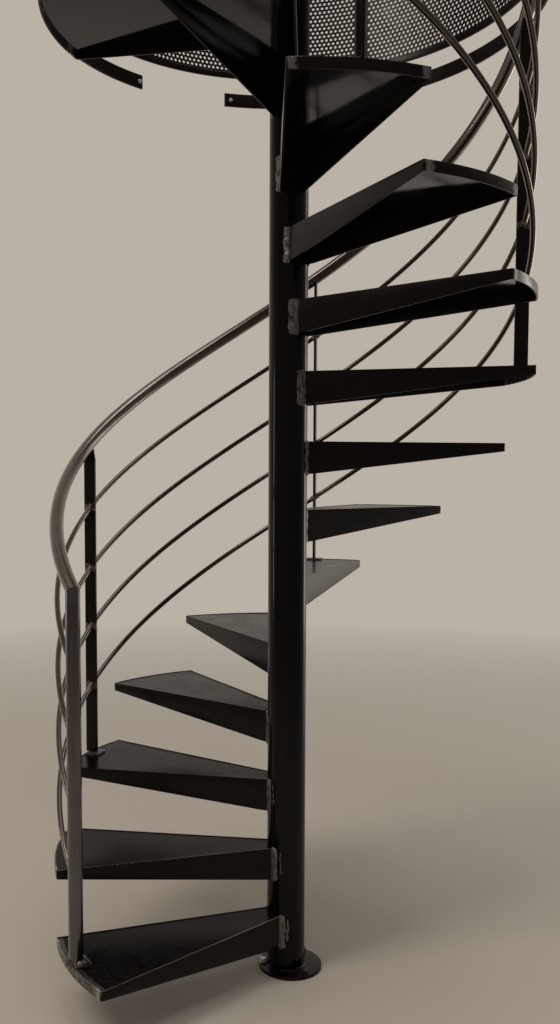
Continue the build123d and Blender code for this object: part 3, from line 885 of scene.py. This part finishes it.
def straight_bar(radius, height, sides):
    """A round bar on the level from the column to the corner newel."""
    x = np.linspace(column_radius - 3, rail_radius - rail_tube + 3, 12)
    y, z = circle(radius, sides)
    return turned(points_of(x[:, None], y, landing_height + height + z), corner_newel_angle)


make_piece("landing_rail_tube", [carry(straight_bar(rail_tube, rail_height, 40))],
           brushed_tube, "landing_rail")
make_piece("landing_rod_bars", [carry(straight_bar(rod_radius, height, 20)) for height in rod_heights],
           brushed_rod, "landing_rods")

# Floor, light and camera
# A plain pale floor runs out to the same tone as the background. Soft lamps light the stair from above, a
# strip on each side draws a thin line along every tube, and the camera stands where the photo was taken.
backdrop_tone = linear("#bbb2a7")
fill_strength, dim_side_strength = 0.45, 0.34
# A white card stands beside the stair and shows only in gloss: the way to it, its half width in degrees
# and its brightness.
card_way, card_half_width, card_brightness = (0.80, 0.59, -0.05), 17, 2.4


def backdrop_strength(node, way):
    """Full strength for camera and transmission rays, and the fill light's strength for diffuse rays.

    Glossy rays see the backdrop too, dimmed on the side that the stair faces, as a studio is behind the
    camera: y is the way's share of the direction to the back, from -1 in front to 1 behind the stair."""
    camera, through, mirror = [node("LightPath", output=f"Is {kind} Ray")
                               for kind in ("Camera", "Transmission", "Glossy")]
    seen = node("Math", {0: camera, 1: through}, operation="MAXIMUM")
    plain = node("MapRange", {0: seen, 3: fill_strength, 4: 1.0})
    way = node("VectorMath", {0: way}, operation="NORMALIZE")
    y = node("SeparateXYZ", {0: way}, output="Y")
    mirrored = node("MapRange", {0: y, 1: -0.35, 2: 0.75, 3: dim_side_strength, 4: 1.0},
                    interpolation_type="SMOOTHSTEP")
    near = node("VectorMath", {0: way, 1: card_way}, output="Value", operation="DOT_PRODUCT")
    card_edge, card_full = cos(radians(card_half_width)), cos(radians(card_half_width * 0.7))
    near = node("MapRange", {0: near, 1: card_edge, 2: card_full, 3: 0.0, 4: card_brightness},
                interpolation_type="SMOOTHSTEP")
    mirrored = node("Math", {0: mirrored, 1: near}, operation="ADD")
    return node("Mix", {0: mirror, 2: plain, 3: mirrored})


# The floor is matt and pale near the stair and melts into the backdrop's own tone from 2 to 7 m away.
melt_from, melt_to, floor_reach = 2.0, 7.0, 60
floor_finish, node, shader, place = new_material("plain pale floor")
far = node("VectorMath", {0: place}, output="Value", operation="LENGTH")
far = node("MapRange", {0: far, 1: melt_from, 2: melt_to})
set_inputs(shader, {"Base Color": linear("#d2ccc2"), "Roughness": 0.6})
glow = node("Emission", {"Color": backdrop_tone, "Strength": backdrop_strength(node, place)})
melted = node("MixShader", {0: far, 1: shader.outputs[0], 2: glow})
set_inputs(floor_finish.node_tree.nodes["Material Output"], {0: melted})
floor_mesh = bpy.data.meshes.new("floor")
corners = [(x * floor_reach, y * floor_reach, 0) for x, y in ((-1, -1), (1, -1), (1, 1), (-1, 1))]
floor_mesh.from_pydata(corners, [], [(0, 1, 2, 3)])
floor_mesh.materials.append(floor_finish)
floor = add_object("floor", floor_mesh)

world = bpy.data.worlds.new("studio")
bpy.context.scene.world = world
world.use_nodes = True
node = partial(add_node, world.node_tree)
strength = backdrop_strength(node, node("TexCoord", output="Generated"))
set_inputs(world.node_tree.nodes["Background"], {0: backdrop_tone, 1: strength})


def soft_lamp(name, place, target, width, height, power, tint):
    """A rectangular area lamp that faces a point and keeps out of every picture itself."""
    data = bpy.data.lights.new(name, "AREA")
    data.shape = "RECTANGLE"
    data.size, data.size_y = width, height
    data.energy = power
    data.color = linear(tint)[:3]
    lamp = add_object(name, data)
    lamp.location = place
    way = np.subtract(target, place)
    lamp.rotation_euler = (pi / 2 + atan2(way[2], hypot(way[0], way[1])), 0, atan2(way[1], way[0]) - pi / 2)
    lamp.visible_camera = False


soft_lamp("high left lamp", (-3.0, -1.6, 5.4), (0, 0, 1.4), 1.6, 2.6, 90, "#fff4e6")
soft_lamp("right strip lamp", (3.6, 2.2, 2.0), (0, 0, 2.0), 0.45, 3.2, 17, "#fbf8f4")
soft_lamp("left strip lamp", (-3.8, 0.2, 1.4), (0, 0, 1.4), 0.3, 1.6, 7, "#fbf6f0")
soft_lamp("top lamp", (0.3, -0.6, 6.2), (0, 0, 0), 3.0, 3.0, 80, "#ffffff")

# The focal length and the middle of the view are in the photo's pixels, the tilt and turn in degrees.
photo_width, photo_height = 560, 1024
focal_length, view_x, view_y = 953.16, 218.3, 538.4
film_width, tilt_down, turn_left = 36, 3.657, 1.511
camera_data = bpy.data.cameras.new("camera")
camera_data.sensor_width = film_width
camera_data.lens = focal_length / photo_height * film_width
camera_data.shift_x = (photo_width / 2 - view_x) / photo_height
camera_data.shift_y = (view_y - photo_height / 2) / photo_height
camera_data.clip_end = 200
camera = add_object("camera", camera_data)
camera.location = (-0.1308, -2.8286, 1.4860)
camera.rotation_euler = (radians(90 - tilt_down), 0, radians(turn_left))
bpy.context.scene.camera = camera
bpy.context.scene.view_settings.view_transform = "Standard"
